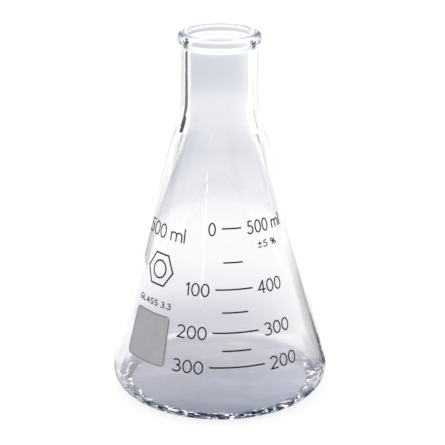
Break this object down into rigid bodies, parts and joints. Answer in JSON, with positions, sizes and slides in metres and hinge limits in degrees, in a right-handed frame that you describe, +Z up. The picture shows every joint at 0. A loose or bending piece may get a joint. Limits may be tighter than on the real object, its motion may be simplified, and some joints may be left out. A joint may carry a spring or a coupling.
{
  "type": "erlenmeyer flask",
  "caption": "Clear conical laboratory flask with a cylindrical neck, beaded rim, rounded heel and a printed volume scale.",
  "frame": {"origin": "centre of the foot ring, on the surface that the flask stands on", "axes": "+Z up the flask's axis to the mouth; the volume scale faces -Y; +X is to the right of a reader of the scale"},
  "size_m": [0.106, 0.106, 0.178],
  "materials": {
    "borosilicate_glass": "clear fire-polished blown glass",
    "grey_enamel": "dark grey fired screen-printed enamel, satin",
    "marking_enamel": "light grey fired enamel, matt enough to take pencil"
  },
  "bodies": {
    "root": {"glass_vessel": "borosilicate_glass", "scale_line_500": "grey_enamel", "scale_line_450": "grey_enamel", "scale_line_400": "grey_enamel", "scale_line_350": "grey_enamel", "scale_line_300": "grey_enamel", "scale_line_250": "grey_enamel", "scale_line_200": "grey_enamel", "poured_numeral_0": "grey_enamel", "poured_numeral_100": "grey_enamel", "poured_numeral_200": "grey_enamel", "poured_numeral_300": "grey_enamel", "volume_numeral_500": "grey_enamel", "volume_numeral_400": "grey_enamel", "volume_numeral_300": "grey_enamel", "volume_numeral_200": "grey_enamel", "tolerance_note": "grey_enamel", "capacity_label": "grey_enamel", "glass_type_label": "grey_enamel", "benzene_ring_emblem": "grey_enamel", "marking_spot": "marking_enamel"}
  },
  "joints": []
}
